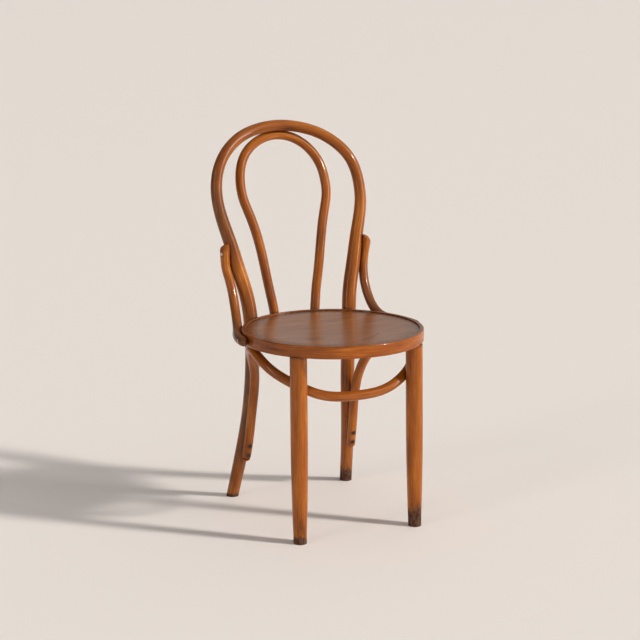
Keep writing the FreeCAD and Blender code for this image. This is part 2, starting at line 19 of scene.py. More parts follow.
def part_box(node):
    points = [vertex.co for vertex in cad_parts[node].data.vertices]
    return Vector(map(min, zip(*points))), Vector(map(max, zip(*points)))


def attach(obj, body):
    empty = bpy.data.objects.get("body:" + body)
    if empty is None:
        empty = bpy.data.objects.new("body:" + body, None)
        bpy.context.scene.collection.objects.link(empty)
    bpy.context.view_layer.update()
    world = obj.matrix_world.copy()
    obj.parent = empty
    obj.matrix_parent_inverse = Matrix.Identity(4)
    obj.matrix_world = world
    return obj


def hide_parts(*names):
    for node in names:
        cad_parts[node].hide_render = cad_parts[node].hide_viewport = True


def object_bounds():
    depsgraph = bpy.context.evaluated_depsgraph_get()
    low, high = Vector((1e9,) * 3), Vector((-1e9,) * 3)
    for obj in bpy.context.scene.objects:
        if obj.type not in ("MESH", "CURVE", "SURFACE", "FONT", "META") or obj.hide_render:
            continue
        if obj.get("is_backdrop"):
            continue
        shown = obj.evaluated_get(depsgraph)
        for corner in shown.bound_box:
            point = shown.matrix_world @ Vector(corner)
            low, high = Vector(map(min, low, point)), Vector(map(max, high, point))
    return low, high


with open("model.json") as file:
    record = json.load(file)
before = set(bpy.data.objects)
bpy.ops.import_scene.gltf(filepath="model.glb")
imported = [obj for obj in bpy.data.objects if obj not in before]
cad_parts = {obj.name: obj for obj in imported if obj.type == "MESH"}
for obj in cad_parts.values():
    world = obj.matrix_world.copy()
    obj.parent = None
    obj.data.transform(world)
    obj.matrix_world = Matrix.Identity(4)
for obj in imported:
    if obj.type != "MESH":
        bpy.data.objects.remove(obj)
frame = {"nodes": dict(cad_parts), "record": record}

MM = 0.001
nodes = frame["nodes"]
record = frame["record"]


def corners():
    """Lowest and highest corner of all that shows, as plain lists."""
    return [list(corner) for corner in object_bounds()]


def add_object(name, data):
    """A new object in the scene, at the origin."""
    obj = bpy.data.objects.new(name, data)
    bpy.context.scene.collection.objects.link(obj)
    return obj


def points_of(mesh):
    """A mesh's points, as rows of an array."""
    points = np.zeros(len(mesh.vertices) * 3, np.float32)
    mesh.vertices.foreach_get("co", points)
    return points.reshape(-1, 3)


def store(mesh, name, values):
    """Keeps one number for each point of a mesh, for the materials to read."""
    stored = mesh.attributes.new(name, "FLOAT", "POINT")
    stored.data.foreach_set("value", np.array(values, np.float32))


bpy.context.view_layer.update()

# %% [markdown]
# ## Measuring a rod
# Every rod was a straight stick once. To lay wood grain on it we need its middle line, and
# the frame only holds its skin. We could copy the line's points by hand, but then they would
# go stale when the frame changes. Instead we walk along the rod: cut its skin with a plane a
# little ahead, fit a circle through the cut, step to the circle's middle, and go on. Points
# that lie off the circle, such as those of a hollow or a screw hole, are dropped from a
# second fit.

# %% Walk along a rod
STEP = 4 * MM
CATCH = (1.6 * MM, 0.8 * MM, 0.3 * MM)      # a point may lie this far off the circle
WIDEST_GAP = 200                            # degrees of the circle that may be missing
MOST_BLIND = 20                             # steps that may be taken without a circle
FEWEST_POINTS = 10                          # that a circle is fitted through
THICKEST = 24 * MM
FOLLOW = 0.6                                # how much of each new direction is taken over
ASKEW = (0.3, 0.5, 0.81)                    # a direction that no rod runs in


def fit_circle(flat):
    """Middle and radius of the circle through flat points, by least squares."""
    system = np.column_stack([2 * flat, np.ones(len(flat))])
    answer = np.linalg.lstsq(system, (flat ** 2).sum(1), rcond=None)[0]
    return answer[:2], math.sqrt(max(answer[2] + answer[0] ** 2 + answer[1] ** 2, 0.0))


def slice_rod(points, edges, centre, along, radius):
    """Circle where a plane across the rod cuts its skin: middle and radius, or None."""
    height = (points - centre) @ along
    start, end = edges[:, 0], edges[:, 1]
    cut = (height[start] < 0) != (height[end] < 0)
    start, end = start[cut], end[cut]
    share = height[start] / (height[start] - height[end])
    ring = points[start] + (points[end] - points[start]) * share[:, None] - centre
    side = np.cross(along, ASKEW)
    side /= np.linalg.norm(side)
    over = np.cross(along, side)
    flat = np.column_stack([ring @ side, ring @ over])
    middle = np.zeros(2)
    for reach in CATCH:
        off = np.abs(np.linalg.norm(flat - middle, axis=1) - radius)
        keep = flat[off < reach]
        if len(keep) < FEWEST_POINTS:
            return None
        turns = np.sort(np.arctan2(*(keep - middle).T))
        widest = np.diff(np.append(turns, turns[0] + 2 * math.pi)).max()
        if widest > math.radians(WIDEST_GAP):
            return None
        middle, radius = fit_circle(keep)
    return centre + side * middle[0] + over * middle[1], radius


def skin_of(name):
    """A node's points and edges as arrays."""
    mesh = nodes[name].data
    edges = np.zeros(len(mesh.edges) * 2, np.int32)
    mesh.edges.foreach_get("vertices", edges)
    return points_of(mesh).astype(float), edges.reshape(-1, 2)


def walk(name, start, heading):
    """Middle line and radii of a rod, from near its start to where its full width ends."""
    points, edges = skin_of(name)
    along = np.array(heading, float)
    along /= np.linalg.norm(along)
    centre = np.array(start, float)
    near = points[np.abs((points - centre) @ along) < STEP] - centre
    near = np.linalg.norm(near, axis=1)
    radius = np.median(near[near < THICKEST])
    line, radii, blind = [], [], 0
    while blind < MOST_BLIND:
        found = slice_rod(points, edges, centre, along, radius)
        if found is None:
            blind += 1
        else:
            blind = 0
            centre = found[0]
            if line:
                ahead = centre - line[-1]
                along = along + FOLLOW * (ahead / np.linalg.norm(ahead) - along)
                along /= np.linalg.norm(along)
            line.append(centre)
            radii.append(found[1])
            radius = found[1]
        centre = centre + along * STEP
    print(name, len(line), "stations, radius", round(min(radii) / MM, 2), "to",
          round(max(radii) / MM, 2), "mm")
    return points, np.array(line), np.array(radii)


def smooth(values, rounds):
    """Evens out the small jumps between stations, and keeps the ends."""
    values = values.copy()
    for _ in range(rounds):
        values[1:-1] = (values[:-2] + 2 * values[1:-1] + values[2:]) / 4
    return values


# %% [markdown]
# ## Ending a rod
# A rod ends in one of three ways. The wavy brace and the arms' tips are rounded over like a
# thumb. The feet of the small loop are sawn square. The legs run on to the floor, or up to the
# ring, and are cut there by a level plane, and the arms' tops run on too, to be trimmed later.
# The walk stops short of an end, so we ask the skin how far it still reaches and lead the line
# there.

# %% Lead a line to its ends
DOME_RINGS = 9
DOME_TURN = 88               # degrees from the rod's side to the last ring
END_REACH = 3.5              # the skin's end is looked for within so many radii
RUN_ON = 2                   # radii past the skin's end, where a tool trims the rod
LINE_ROUNDS = 6              # rounds of smoothing for the middle line
WIDTH_ROUNDS = 10            # and for its radii


def lead_out(points, line, radii, ending):
    """Adds stations after the last one, to the end of the skin."""
    along = line[-1] - line[-4]
    along /= np.linalg.norm(along)
    radius = radii[-1]
    near = points[np.linalg.norm(points - line[-1], axis=1) < END_REACH * radius]
    left = ((near - line[-1]) @ along).max()
    if ending == "through":
        left += RUN_ON * radius
    flat = left - (radius if ending == "round" else 0)
    extra, widths = [], []
    count = max(1, int(flat / STEP))
    if flat > 0:
        for i in range(1, count + 1):
            extra.append(line[-1] + along * flat * i / count)
            widths.append(radius)
    if ending == "round":
        base = line[-1] + along * flat
        for i in range(1, DOME_RINGS + 1):
            turn = math.radians(DOME_TURN) * i / DOME_RINGS
            extra.append(base + along * radius * math.sin(turn))
            widths.append(radius * math.cos(turn))
    if not extra:
        return line, radii
    return np.vstack([line, extra]), np.concatenate([radii, widths])


def rod_line(name, start, heading, endings):
    """The whole middle line of a rod, with its radii, ended at both ends."""
    points, line, radii = walk(name, start, heading)
    line = smooth(line, LINE_ROUNDS)
    radii = smooth(radii, WIDTH_ROUNDS)
    line, radii = lead_out(points, line, radii, endings[1])
    line, radii = lead_out(points, line[::-1], radii[::-1], endings[0])
    return line[::-1], radii[::-1]


def tip_of(name, side, at_top):
    """A point inside the rod near its lowest or highest end, on one side of the chair."""
    points, _ = skin_of(name)
    level = points[:, 2].max() - TIP_IN if at_top else points[:, 2].min() + TIP_IN
    near = points[(np.abs(points[:, 2] - level) < TIP_BAND) & (points[:, 0] * side > 0)]
    return near.mean(0)


# %% Measure every rod
TIP_IN = 15 * MM             # the walk starts so far from the end
TIP_BAND = 12 * MM           # and takes the middle of this much skin above and below
LIFT = np.array([0, 0, 10 * MM])
feet = {mount["name"]: mount["pos_m"] for mount in record["mounts"]}
lines = {
    "outer_back_hoop": rod_line("outer_back_hoop", feet["rear_foot_right"] + LIFT, (0, 0, 1),
                                ("through", "through")),
    "inner_back_hoop": rod_line("inner_back_hoop", tip_of("inner_back_hoop", 1, False), (0, 0, 1),
                                ("square", "square")),
    "leg_brace": rod_line("leg_brace", tip_of("leg_brace", 1, False), (0, 0, 1),
                          ("round", "round")),
}
for side, sign in (("right", 1), ("left", -1)):
    lines["arm_" + side] = rod_line("arm_" + side, tip_of("arm_" + side, sign, True) - LIFT,
                                    (0, 0, -1), ("through", "round"))
    lines["front_leg_" + side] = rod_line(
        "front_leg_" + side, feet["front_foot_" + side] + LIFT, (0, 0, 1), ("through", "through"))

# %% [markdown]
# ## Sweeping the rods
# A rod is the plainest rule there is: a circle carried along a line. Geometry Nodes say it in
# five steps: line to curve, radius from the stations, circle swept along, a little
# unevenness from the scraper, material. The tree also stores where each point lay in the
# straight stick before it was bent. We call that attribute `stick`, and the wood grain reads
# it later, so the grain runs round every bend as it does in steamed beech.

# %% Node helpers
class Value:
    """A node's output. Each sum with it adds a maths node to its tree."""

    def __init__(self, socket):
        self.socket = socket
        self.tree = socket.id_data

    def maths(self, operation, first, second, clamp=False):
        return add_value(self.tree, "ShaderNodeMath", {0: first, 1: second},
                         operation=operation, use_clamp=clamp)

    def __add__(self, other):
        return self.maths("ADD", self, other)

    def __sub__(self, other):
        return self.maths("SUBTRACT", self, other)

    def __rsub__(self, other):
        return self.maths("SUBTRACT", other, self)

    def __mul__(self, other):
        return self.maths("MULTIPLY", self, other)

    def __truediv__(self, other):
        return self.maths("DIVIDE", self, other)

    def at_least(self, low):
        return self.maths("MAXIMUM", self, low)

    def clamped(self):
        """Kept between 0 and 1."""
        return self.maths("ADD", self, 0.0, clamp=True)


def fill(socket, value):
    """Gives an input a number, or links another node's output to it."""
    if isinstance(value, Value):
        value = value.socket
    if isinstance(value, bpy.types.NodeSocket):
        value.id_data.links.new(value, socket)
    else:
        socket.default_value = value


def add_node(tree, kind, inputs=None, **settings):
    """A node with its settings. An input is a number, or another node's output.

    Some nodes hide several inputs of one name. Those are told apart by their identifiers.
    """
    made_node = tree.nodes.new(kind)
    for key, value in settings.items():
        setattr(made_node, key, value)
    for key, value in (inputs or {}).items():
        named = [item for item in made_node.inputs if item.identifier == key]
        fill(named[0] if named else made_node.inputs[key], value)
    return made_node


def add_value(tree, kind, inputs=None, take=0, **settings):
    """One output of a new node, ready for sums."""
    return Value(add_node(tree, kind, inputs, **settings).outputs[take])


def new_group(name, kind, inputs, outputs):
    """A node group with named inputs, some with a default, and outputs; and its inputs."""
    tree = bpy.data.node_groups.new(name, kind)
    for key, socket_kind, *value in inputs:
        socket = tree.interface.new_socket(key, in_out="INPUT",
                                           socket_type="NodeSocket" + socket_kind)
        if value:
            socket.default_value = value[0]
    for key, socket_kind in outputs:
        tree.interface.new_socket(key, in_out="OUTPUT", socket_type="NodeSocket" + socket_kind)
    group_input = tree.nodes.new("NodeGroupInput")
    return tree, {item.name: Value(item) for item in group_input.outputs}


def bake_tree(obj, tree, values):
    """Runs a Geometry Nodes tree on an object and returns the result as a plain mesh object."""
    modifier = obj.modifiers.new("tree", "NODES")
    modifier.node_group = tree
    ids = {item.name: item.identifier for item in tree.interface.items_tree
           if item.in_out == "INPUT"}
    for name, value in values.items():
        modifier[ids[name]] = value
    ready = obj.evaluated_get(bpy.context.evaluated_depsgraph_get())
    mesh = bpy.data.meshes.new_from_object(ready)
    name = obj.name
    bpy.data.objects.remove(obj)
    mesh.name = name
    return add_object(name, mesh)


def vector_node(operation, a, b=None):
    """Vector maths. The second input is a vector, or one number for SCALE."""
    inputs = {0: a}
    if b is not None:
        inputs["Scale" if operation == "SCALE" else 1] = b
    take = "Value" if operation in ("DOT_PRODUCT", "LENGTH") else "Vector"
    return add_value(a.tree, "ShaderNodeVectorMath", inputs, take, operation=operation)


def combine(tree, **parts):
    """A vector from the parts that are given. The others are 0."""
    return add_value(tree, "ShaderNodeCombineXYZ", parts)


def steps(value, low, high):
    """0 below low, 1 above high, and smooth between."""
    return add_value(value.tree, "ShaderNodeMapRange",
                     {"Value": value, "From Min": low, "From Max": high},
                     interpolation_type="SMOOTHSTEP")


def scaled_noise(place, scale, seed, detail=3.0, roughness=0.5):
    """Noise on coordinates that are stretched by a different factor each way."""
    return add_value(place.tree, "ShaderNodeTexNoise",
                     {"Vector": vector_node("MULTIPLY", place, scale), "W": seed,
                      "Scale": 1.0, "Detail": detail, "Roughness": roughness}, "Fac",
                     noise_dimensions="4D")


def read_point(tree, name, kind="FLOAT"):
    """In a Geometry Nodes tree, what is stored for each point under a name."""
    return add_value(tree, "GeometryNodeInputNamedAttribute", {"Name": name}, "Attribute",
                     data_type=kind)


def store_point(geometry, name, value):
    """In a Geometry Nodes tree, keeps a vector for each point under a name."""
    return add_value(geometry.tree, "GeometryNodeStoreNamedAttribute",
                     {"Geometry": geometry, "Name": name, "Value": value},
                     data_type="FLOAT_VECTOR", domain="POINT")


def end_tree(geometry, material, output):
    """Ends a Geometry Nodes tree: real geometry with its material."""
    real = add_value(geometry.tree, "GeometryNodeRealizeInstances", {"Geometry": geometry})
    done = add_value(geometry.tree, "GeometryNodeSetMaterial",
                     {"Geometry": real, "Material": material})
    add_node(geometry.tree, "NodeGroupOutput", {output: done})


# %% The swept rod tree
UNEVENNESS = 0.1 * MM
BUMPS_PER_M = (30, 30, 22)   # across, across and along the stick


def swept_rod_tree():
    tree, inputs = new_group(
        "swept rod", "GeometryNodeTree",
        [("Line", "Geometry"), ("Sides", "Int", 40), ("Unevenness", "Float", UNEVENNESS),
         ("Seed", "Float", 0.0), ("Material", "Material")], [("Rod", "Geometry")])
    curve = add_value(tree, "GeometryNodeMeshToCurve", {"Mesh": inputs["Line"]})
    width = read_point(tree, "rod_radius")
    circle = add_value(tree, "GeometryNodeCurvePrimitiveCircle",
                       {"Resolution": inputs["Sides"], "Radius": 1.0}, mode="RADIUS")
    rim = store_point(circle, "rim", add_value(tree, "GeometryNodeInputPosition"))
    sweep = add_value(tree, "GeometryNodeCurveToMesh",
                      {"Curve": curve, "Scale": width, "Fill Caps": True,
                       "Profile Curve": rim})
    across = vector_node("SCALE", read_point(tree, "rim", "FLOAT_VECTOR"), width)
    parts = add_node(tree, "ShaderNodeSeparateXYZ", {0: across}).outputs
    stick = combine(tree, X=parts[0], Y=parts[1], Z=read_point(tree, "along"))
    bumps = scaled_noise(stick, BUMPS_PER_M, inputs["Seed"], 1.0)
    lift = (bumps - 0.5) * (inputs["Unevenness"] * 2.0)
    normal = add_value(tree, "GeometryNodeInputNormal")
    moved = add_value(tree, "GeometryNodeSetPosition",
                      {"Geometry": store_point(sweep, "stick", stick),
                       "Offset": vector_node("SCALE", normal, lift)})
    end_tree(moved, inputs["Material"], "Rod")
    return tree


rod_tree = swept_rod_tree()
print("tree:", rod_tree.name, len(rod_tree.nodes), "nodes")

# %% Sweep one rod
def sweep_rod(name, line, radii, material, seed, sides=40, unevenness=UNEVENNESS):
    """A rod along its middle line, with where each point lay in the straight stick."""
    mesh = bpy.data.meshes.new(name)
    mesh.from_pydata([tuple(p) for p in line], [(i, i + 1) for i in range(len(line) - 1)], [])
    lengths = np.concatenate([[0], np.cumsum(np.linalg.norm(np.diff(line, axis=0), axis=1))])
    store(mesh, "rod_radius", radii)
    store(mesh, "along", lengths)
    rod = bake_tree(add_object(name, mesh), rod_tree,
                    {"Sides": sides, "Seed": seed, "Material": material,
                     "Unevenness": unevenness})
    rod.name = name
    print(name, "length", round(lengths[-1] / MM), "mm,", len(rod.data.polygons), "faces")
    return rod


def cut_level(piece, height, keep_above):
    """Saws a piece off at a level plane and closes the cut."""
    work = bmesh.new()
    work.from_mesh(piece.data)
    side = {"clear_inner": True} if keep_above else {"clear_outer": True}
    result = bmesh.ops.bisect_plane(work, geom=work.verts[:] + work.edges[:] + work.faces[:],
                                    plane_co=(0, 0, height), plane_no=(0, 0, 1), **side)
    rim = [item for item in result["geom_cut"] if isinstance(item, bmesh.types.BMEdge)]
    bmesh.ops.holes_fill(work, edges=rim, sides=0)
    work.to_mesh(piece.data)
    work.free()


# %% [markdown]
# ## Screws and their holes
# Slotted wood screws hold the chair together, each sunk a little below the wood. They are all
# of one shape and differ only in place, so a tree of nodes makes them: one screw, set on each
# point, turned to its direction and spun by a random angle, because no joiner leaves the slots
# in line. The places are measured from the frame's own screws: the long axis of each, and
# which of its ends is the wider one.

# %% Find the frame's fasteners
SAME_POINT = 1e-6
AIM_ROUNDS = 3               # rounds in which the two ends set the direction anew
END_BAND = 0.6 * MM          # so much of a fastener counts as its end


def islands(name):
    """The separate solids of a node, each as an array of its points."""
    work = bmesh.new()
    work.from_mesh(nodes[name].data)
    bmesh.ops.remove_doubles(work, verts=work.verts, dist=SAME_POINT)
    work.verts.ensure_lookup_table()
    seen, found = set(), []
    for first in work.verts:
        if first.index in seen:
            continue
        seen.add(first.index)
        queue, members = [first], []
        while queue:
            vert = queue.pop()
            members.append(tuple(vert.co))
            for edge in vert.link_edges:
                other = edge.other_vert(vert)
                if other.index not in seen:
                    seen.add(other.index)
                    queue.append(other)
        found.append(np.array(members))
    work.free()
    return found


def measure_fastener(points):
    """Middle of a fastener's head, its direction into the wood, head radius and length."""
    centre = points.mean(0)
    along = np.linalg.svd(points - centre, full_matrices=False)[2][0]
    for _ in range(AIM_ROUNDS):
        height = (points - centre) @ along
        low_end = points[height < height.min() + END_BAND]
        high_end = points[height > height.max() - END_BAND]
        centre, far = low_end.mean(0), high_end.mean(0)
        along = (far - centre) / np.linalg.norm(far - centre)
    low_radius = np.linalg.norm(low_end - centre, axis=1).max()
    high_radius = np.linalg.norm(high_end - far, axis=1).max()
    if high_radius > low_radius:
        centre, along = far, -along
    height = (points - centre) @ along
    return (centre + along * height.min(), along, max(low_radius, high_radius), np.ptp(height))


screw_nodes = sorted(name for name in nodes if name.endswith("screws") or name == "hoop_top_screw")
fasteners = {name: [measure_fastener(points) for points in islands(name)]
             for name in screw_nodes + ["leg_bolts"]}
for name, group in fasteners.items():
    head, aim, radius, length = group[0]
    print(name, len(group), "head", round(radius / MM, 2), "length", round(length / MM, 1),
          "aim", aim.round(2))

# %% The screw tree
def slotted_screw_tree():
    tree, inputs = new_group(
        "slotted screws", "GeometryNodeTree",
        [("Places", "Geometry"), ("Head Radius", "Float", 4 * MM),
         ("Shank Radius", "Float", 2 * MM), ("Length", "Float", 30 * MM),
         ("Slot Width", "Float", 1.0 * MM), ("Slot Depth", "Float", 0.9 * MM),
         ("Seed", "Int", 5), ("Material", "Material")], [("Screws", "Geometry")])

    def lowered(mesh, height):
        return add_value(tree, "GeometryNodeTransform",
                         {"Geometry": mesh, "Translation": combine(tree, Z=height)})

    head, shank = inputs["Head Radius"], inputs["Shank Radius"]
    deep = head - shank
    low = deep * -1.0
    cone = add_value(tree, "GeometryNodeMeshCone",
                     {"Vertices": 32, "Radius Top": head, "Radius Bottom": shank,
                      "Depth": deep})
    size = combine(tree, X=head * 3.0, Y=inputs["Slot Width"], Z=inputs["Slot Depth"] * 2.0)
    slot = add_value(tree, "GeometryNodeMeshCube", {"Size": size})
    slotted = add_value(tree, "GeometryNodeMeshBoolean",
                        {"Mesh 1": lowered(cone, low), "Mesh 2": slot},
                        operation="DIFFERENCE")
    run = inputs["Length"] - deep
    rod = add_value(tree, "GeometryNodeMeshCylinder",
                    {"Vertices": 16, "Radius": shank, "Depth": run})
    screw = tree.nodes.new("GeometryNodeJoinGeometry")
    for part in (slotted, lowered(rod, low - run * 0.5)):
        fill(screw.inputs[0], part)
    facing = add_value(tree, "FunctionNodeAlignRotationToVector",
                       {"Vector": read_point(tree, "outwards", "FLOAT_VECTOR")}, axis="Z")
    spin = add_value(tree, "FunctionNodeRandomValue",
                     {"Min_001": 0.0, "Max_001": math.pi, "Seed": inputs["Seed"]}, 1,
                     data_type="FLOAT")
    turn = add_value(tree, "FunctionNodeAxisAngleToRotation",
                     {"Axis": (0, 0, 1), "Angle": spin})
    turned = add_value(tree, "FunctionNodeRotateRotation",
                       {"Rotation": facing, "Rotate By": turn}, rotation_space="LOCAL")
    placed = add_value(tree, "GeometryNodeInstanceOnPoints",
                       {"Points": inputs["Places"], "Instance": screw.outputs[0],
                        "Rotation": turned})
    end_tree(placed, inputs["Material"], "Screws")
    return tree


screw_tree = slotted_screw_tree()
print("tree:", screw_tree.name, len(screw_tree.nodes), "nodes")


def make_screws(name, material):
    """All the screws of one node, in one piece."""
    group = fasteners[name]
    mesh = bpy.data.meshes.new(name)
    mesh.from_pydata([tuple(head) for head, aim, radius, length in group], [], [])
    stored = mesh.attributes.new("outwards", "FLOAT_VECTOR", "POINT")
    for point, (head, aim, radius, length) in zip(stored.data, group):
        point.vector = -Vector(aim)
    return bake_tree(add_object(name + "_slotted", mesh), screw_tree,
                     {"Head Radius": group[0][2], "Length": group[0][3],
                      "Seed": len(name), "Material": material})


# %% [markdown]
# ## Cutting holes and hollows
# Where two rods lie against each other, the joiner hollows one of them to fit the other, and
# each screw head sits in a hole. Both are cuts, so both are booleans: the tool is a plug for
# a screw, or a copy of the neighbour that is a hair thicker.

# %% Cutting tools
HOLE_ROUND = 0.2 * MM        # air round a screw's head
HOLE_DEPTH = 1.3 * MM        # below the top of the head
HOLE_REACH = 9 * MM          # above it, out of the wood
FIT = 0.2 * MM               # air between two rods that lie against each other


def finish_mesh(work, name):
    """Turns a bmesh into an object."""
    mesh = bpy.data.meshes.new(name)
    work.to_mesh(mesh)
    work.free()
    return add_object(name, mesh)


def plug(place, aim, radius, start, end, sides=32):
    """A cylinder along a direction, from start to end."""
    turn = Vector(aim).to_track_quat("Z", "Y").to_matrix().to_4x4()
    shift = Matrix.Translation(Vector(place) + Vector(aim) * (start + end) / 2)
    work = bmesh.new()
    bmesh.ops.create_cone(work, cap_ends=True, segments=sides, radius1=radius, radius2=radius,
                          depth=end - start, matrix=shift @ turn)
    return finish_mesh(work, "tool")


def cut_away(piece, tools):
    """Takes the tools' space out of a piece, and removes the tools."""
    for tool in tools:
        cut = piece.modifiers.new("cut", "BOOLEAN")
        cut.operation = "DIFFERENCE"
        cut.solver = "EXACT"
        cut.object = tool
    ready = piece.evaluated_get(bpy.context.evaluated_depsgraph_get())
    mesh = bpy.data.meshes.new_from_object(ready)
    mesh.name = piece.data.name
    piece.modifiers.clear()
    piece.data = mesh
    for tool in tools:
        bpy.data.objects.remove(tool)


def screw_holes(*names):
    """Plugs for the mouths of the holes of some fasteners."""
    return [plug(head, aim, radius + HOLE_ROUND, -HOLE_REACH, HOLE_DEPTH)
            for name in names for head, aim, radius, length in fasteners[name]]


# %% [markdown]
# ## The wood
# Beech is a plain, pale wood. What gives this chair its warmth is a red-brown stain under
# many coats of varnish. Three things make it read as wood: long streaks where the stain took
# unevenly, short dark flecks a few millimetres long, which are the wood's rays, and a clear
# coat with its own sharp gloss over a duller ground. All are functions of the `stick`
# attribute, so one node group serves each wooden piece, with its own colours and seed.

# %% Colours
def linear(red, green, blue):
    """A colour picked on a screen, 0 to 255, as the linear values that shaders take."""
    values = []
    for part in (red, green, blue):
        share = part / 255
        low = share <= 0.04045
        values.append(share / 12.92 if low else ((share + 0.055) / 1.055) ** 2.4)
    return (*values, 1.0)


def mix_colour(tree, share, first, second):
    node = add_node(tree, "ShaderNodeMix", {"Factor": share}, data_type="RGBA")
    fill(node.inputs[6], first)
    fill(node.inputs[7], second)
    return Value(node.outputs[2])


def new_material(name):
    """A new material, with its tree and its shader."""
    material = bpy.data.materials.new(name)
    material.use_nodes = True
    return material, material.node_tree, material.node_tree.nodes["Principled BSDF"]


# %% The stained beech group
# How many times a metre each pattern repeats: across, across and along the stick
CLOUDS = (45, 45, 9)
STREAKS = (420, 420, 14)
FIBRES = (1500, 1500, 70)
FLECKS = (760, 760, 190)
FLECKED_PATCHES = (60, 60, 25)
FLECK_SHADE = (0.02, 0.006, 0.002, 1)


def stained_beech_group():
    tree, inputs = new_group(
        "stained beech", "ShaderNodeTree",
        [("Stick", "Vector"), ("Dark", "Color"), ("Middle", "Color"), ("Light", "Color"),
         ("Flecks", "Float", 0.5), ("Seed", "Float", 0.0)],
        [("Color", "Color"), ("Roughness", "Float"), ("Height", "Float")])
    stick, seed = inputs["Stick"], inputs["Seed"]
    clouds = scaled_noise(stick, CLOUDS, seed, 2.0)
    streaks = scaled_noise(stick, STREAKS, seed, 4.0, 0.6)
    fibres = scaled_noise(stick, FIBRES, seed, 2.0, 0.6)
    tone = streaks * 0.55 + clouds * 0.6 + fibres * 0.25 - 0.2
    warm = mix_colour(tree, steps(tone, 0.28, 0.52), inputs["Dark"], inputs["Middle"])
    wood = mix_colour(tree, steps(tone, 0.5, 0.74), warm, inputs["Light"])
    cells = add_value(tree, "ShaderNodeTexVoronoi",
                      {"Vector": vector_node("MULTIPLY", stick, FLECKS), "W": seed,
                       "Scale": 1.0}, "Distance", voronoi_dimensions="4D")
    patches = steps(scaled_noise(stick, FLECKED_PATCHES, seed, 1.0), 0.42, 0.62)
    fleck = (1.0 - steps(cells, 0.12, 0.34)) * patches * inputs["Flecks"]
    dark = mix_colour(tree, 0.75, inputs["Dark"], FLECK_SHADE)
    add_node(tree, "NodeGroupOutput",
             {"Color": mix_colour(tree, fleck, wood, dark),
              "Roughness": streaks * 0.25 + 0.3, "Height": fibres * 0.5 - fleck * 0.6})
    return tree


beech_group = stained_beech_group()
print("group:", beech_group.name, len(beech_group.nodes), "nodes")

# %% [markdown]
# ## What years of use add, and painted shade
# The chair has been swept round, mopped and kicked. Its feet have lost their varnish and
# taken up grey dirt. In the corners where two pieces meet, wax and dust have gone
# dark, and shade is painted there as well. The first is a matter of height above the floor, so
# each foot stores its own `worn_height`. For the second we measure, for each point of a piece,
# how near the closest other piece is, and store it as the attribute `nook`. Where the stain has
# gone darker, and where shade is painted on the left rear leg and the arms' lower ends, we set
# the attribute `stain` by distance from a place.

# %% The wear group, with painted shade
# How many times a metre each pattern repeats: across, across and upwards
WORN_EDGE = (190, 190, 34)
DIRT_SPOTS = (420, 420, 160)
NOOK_MOTTLE = (130, 130, 130)
BLOTS = (60, 60, 22)
LEAST_WORN = 0.1 * MM


def wear_and_shade_group_tree():
    tree, inputs = new_group(
        "years of use", "ShaderNodeTree",
        [("Color", "Color"), ("Roughness", "Float", 0.35), ("Nook", "Float", 0.0),
         ("Worn Height", "Float", 0.0), ("Stain", "Float", 0.0),
         ("Stained", "Color", (0.090, 0.034, 0.014, 1)),
         ("Grime", "Color", (0.025, 0.012, 0.007, 1)),
         ("Bare", "Color", (0.09, 0.06, 0.045, 1))],
        [("Color", "Color"), ("Roughness", "Float"), ("Varnish", "Float")])
    place = add_value(tree, "ShaderNodeTexCoord", take="Object")
    height = add_value(tree, "ShaderNodeSeparateXYZ", {0: place}, "Z")
    ragged = scaled_noise(place, WORN_EDGE, 3.1, 4.0, 0.65)
    worn_line = inputs["Worn Height"] * (ragged * 2.4 - 0.2)
    foot = 1.0 - steps(height / worn_line.at_least(LEAST_WORN), 0.65, 1.2)
    mottle = scaled_noise(place, DIRT_SPOTS, 7.7)
    bare = mix_colour(tree, steps(mottle, 0.4, 0.62), inputs["Bare"], inputs["Grime"])
    # Corners where pieces meet: dirt, and painted shade where the pieces shade each other
    nook = inputs["Nook"] * steps(scaled_noise(place, NOOK_MOTTLE, 5.2), 0.2, 0.6)
    blots = scaled_noise(place, BLOTS, 9.4)
    # Darker stretches: real stain, and painted shade on the left rear leg and the arms' lower ends
    stain = inputs["Stain"] * (steps(blots, 0.25, 0.6) * 0.5 + 0.5)
    colour = mix_colour(tree, stain * 0.85, inputs["Color"], inputs["Stained"])
    colour = mix_colour(tree, nook * 0.85, colour, inputs["Grime"])
    colour = mix_colour(tree, foot * 0.88, colour, bare)
    rough = (foot * 0.35 + inputs["Roughness"] + nook * 0.2).clamped()
    add_node(tree, "NodeGroupOutput",
             {"Color": colour, "Roughness": rough, "Varnish": 1.0 - foot * 0.9})
    return tree


wear_and_shade_group = wear_and_shade_group_tree()

# %% [markdown]
# ## Marks on the seat
# A scratch is a short line on the seat, and a stain is a short and wide one. One group makes
# both: it measures how far a point lies from the line, and frays the edge with noise. A curved
# scratch is a chain of such lines.

# %% The seat mark group
FRAYED = (240, 240, 240)     # how many times a metre a mark's edge frays


